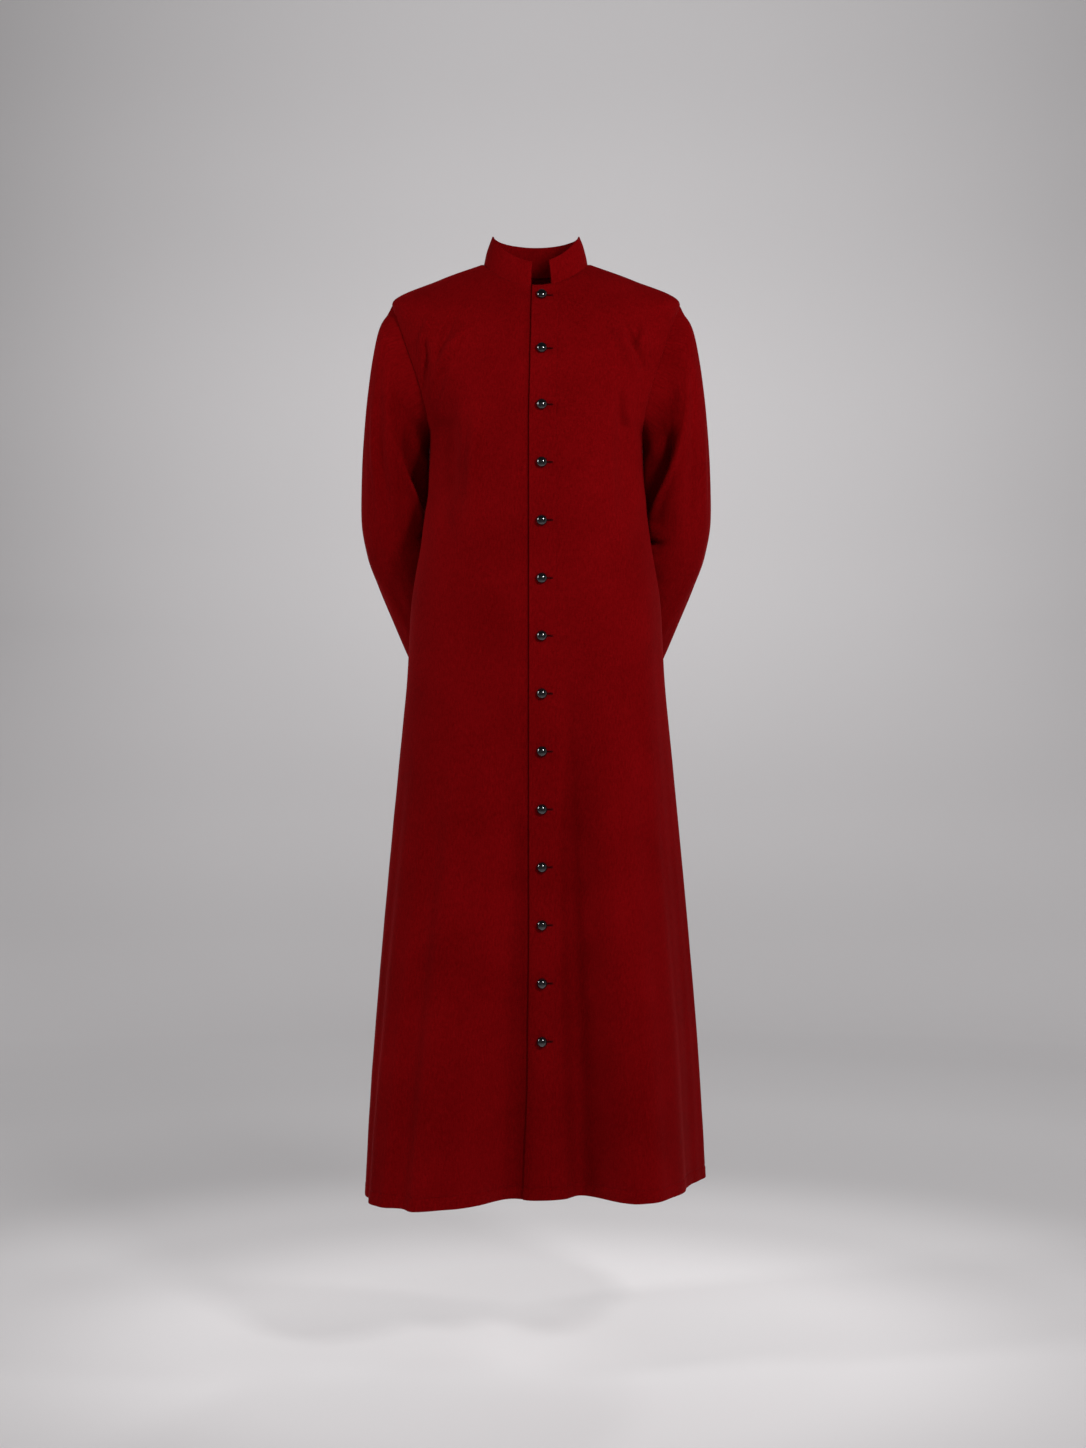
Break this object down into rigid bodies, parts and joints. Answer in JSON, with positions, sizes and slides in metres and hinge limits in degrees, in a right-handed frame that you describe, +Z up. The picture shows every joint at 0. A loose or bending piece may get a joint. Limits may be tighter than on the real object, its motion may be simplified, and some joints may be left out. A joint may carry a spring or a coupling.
{
  "type": "cassock",
  "caption": "Full-length buttoned clergy coat with a standing collar and long plain sleeves, in the form it keeps when worn with the arms behind the back.",
  "frame": {"origin": "the centre of the neck opening, level with the points where the shoulder seams meet the collar", "axes": "+Z up out of the collar, -Y to the front where the buttons are, +X to the wearer's left"},
  "size_m": [0.5268, 0.4543, 1.3963],
  "materials": {
    "red_cloth": "dark red fine twill with a faint sheen",
    "black_button": "polished black"
  },
  "bodies": {
    "root": {"front_left": "red_cloth", "front_right": "red_cloth", "back": "red_cloth", "top_sleeve_left": "red_cloth", "under_sleeve_left": "red_cloth", "top_sleeve_right": "red_cloth", "under_sleeve_right": "red_cloth", "collar": "red_cloth", "button_01": "black_button", "button_02": "black_button", "button_03": "black_button", "button_04": "black_button", "button_05": "black_button", "button_06": "black_button", "button_07": "black_button", "button_08": "black_button", "button_09": "black_button", "button_10": "black_button", "button_11": "black_button", "button_12": "black_button", "button_13": "black_button", "button_14": "black_button"}
  },
  "joints": []
}
